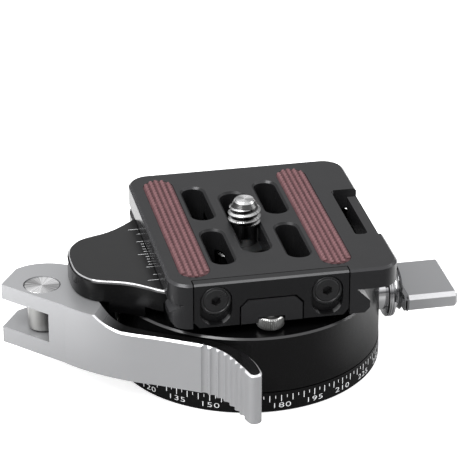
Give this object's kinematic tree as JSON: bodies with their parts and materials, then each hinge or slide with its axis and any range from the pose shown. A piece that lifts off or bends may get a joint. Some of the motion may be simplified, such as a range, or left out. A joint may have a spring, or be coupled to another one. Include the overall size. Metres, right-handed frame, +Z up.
{
  "type": "panoramic tripod head",
  "caption": "Panoramic tripod head: a drum that turns on a marked dial base, with a lever clamp, a pan lock and a dovetail quick-release plate.",
  "frame": {"origin": "centre of the dial base's underside, on the drum's axis and at the mouth of the tripod thread", "axes": "+Z up along the drum's axis, +Y along the dovetail towards the plate's back, +X from the lever's side towards the pan lock"},
  "size_m": [0.0886, 0.0667, 0.0319],
  "materials": {
    "black_anodised": "satin black anodised",
    "charcoal_anodised": "satin charcoal anodised",
    "grey_anodised": "bead-blasted light grey anodised",
    "steel": "turned steel",
    "black_steel": "black oxide steel",
    "chrome": "polished",
    "brass": "turned brass",
    "nylon": "natural nylon",
    "grip_rubber": "dusty maroon rubber"
  },
  "bodies": {
    "base": {"dial_base": "black_anodised", "tripod_insert": "steel", "insert_screws": "black_steel", "lower_thrust_washer": "nylon", "spindle_ring_nut": "brass"},
    "head": {"clamp_body": "black_anodised", "bed_cover": "black_anodised", "bed_cover_screws": "black_steel", "upper_thrust_washer": "nylon", "tension_rod": "chrome", "jaw_guide_pins": "steel", "jaw_spring": "steel", "lever_pin": "steel", "lever_pin_clip": "steel", "pan_lock_collar": "chrome"},
    "jaw": {"movable_jaw": "charcoal_anodised"},
    "lever": {"clamp_lever": "grey_anodised"},
    "shoe": {"brake_shoe": "nylon"},
    "knob": {"pan_lock_screw": "chrome", "pan_lock_knob": "grey_anodised"},
    "plate": {"quick_plate": "charcoal_anodised", "left_grip_pad": "grip_rubber", "right_grip_pad": "grip_rubber", "flange_screws": "black_steel"},
    "clip": {"camera_screw_clip": "nylon"},
    "screw": {"camera_screw": "steel"},
    "flange": {"anti_twist_flange": "charcoal_anodised"},
    "front_stop": {"front_stop_screw": "steel"},
    "rear_stop": {"rear_stop_screw": "steel"}
  },
  "joints": [
    {"name": "pan", "type": "hinge", "parent": "base", "child": "head", "pos_m": [0, 0, 0.0045], "axis": [0, 0, 1], "continuous": true},
    {"name": "lever_swing", "type": "hinge", "parent": "head", "child": "lever", "pos_m": [-0.03995, 0, 0.0121], "axis": [0, 0, -1], "range_deg": [0, 115]},
    {"name": "jaw_slide", "type": "slide", "parent": "head", "child": "jaw", "axis": [-1, 0, 0], "range_m": [0, 0.00152]},
    {"name": "pan_lock_turn", "type": "hinge", "parent": "shoe", "child": "knob", "pos_m": [0.0355, 0, 0.01025], "axis": [1, 0, 0], "range_deg": [0, 150]},
    {"name": "pan_lock_press", "type": "slide", "parent": "head", "child": "shoe", "axis": [1, 0, 0], "range_m": [0, 0.00033333]},
    {"name": "plate_slide", "type": "slide", "parent": "head", "child": "plate", "axis": [0, 1, 0], "range_m": [-0.0042, 0.0018]},
    {"name": "screw_slide", "type": "slide", "parent": "plate", "child": "clip", "axis": [0, 1, 0], "range_m": [-0.0108, 0.0108]},
    {"name": "camera_screw_turn", "type": "hinge", "parent": "clip", "child": "screw", "pos_m": [0, 0.00135, 0.025], "axis": [0, 0, 1], "continuous": true},
    {"name": "flange_slide", "type": "slide", "parent": "plate", "child": "flange", "axis": [0, 0, 1], "range_m": [0, 0.002]},
    {"name": "front_stop_turn", "type": "hinge", "parent": "plate", "child": "front_stop", "pos_m": [0, -0.022, 0.0177], "axis": [0, 0, 1], "continuous": true},
    {"name": "rear_stop_turn", "type": "hinge", "parent": "plate", "child": "rear_stop", "pos_m": [0, 0.0247, 0.0177], "axis": [0, 0, 1], "continuous": true}
  ],
  "couplings": [
    {"joint": "jaw_slide", "follows": "lever_swing", "m_per_rad": 0.00075481},
    {"joint": "pan_lock_turn", "follows": "pan_lock_press", "rad_per_m": 7853.9}
  ]
}
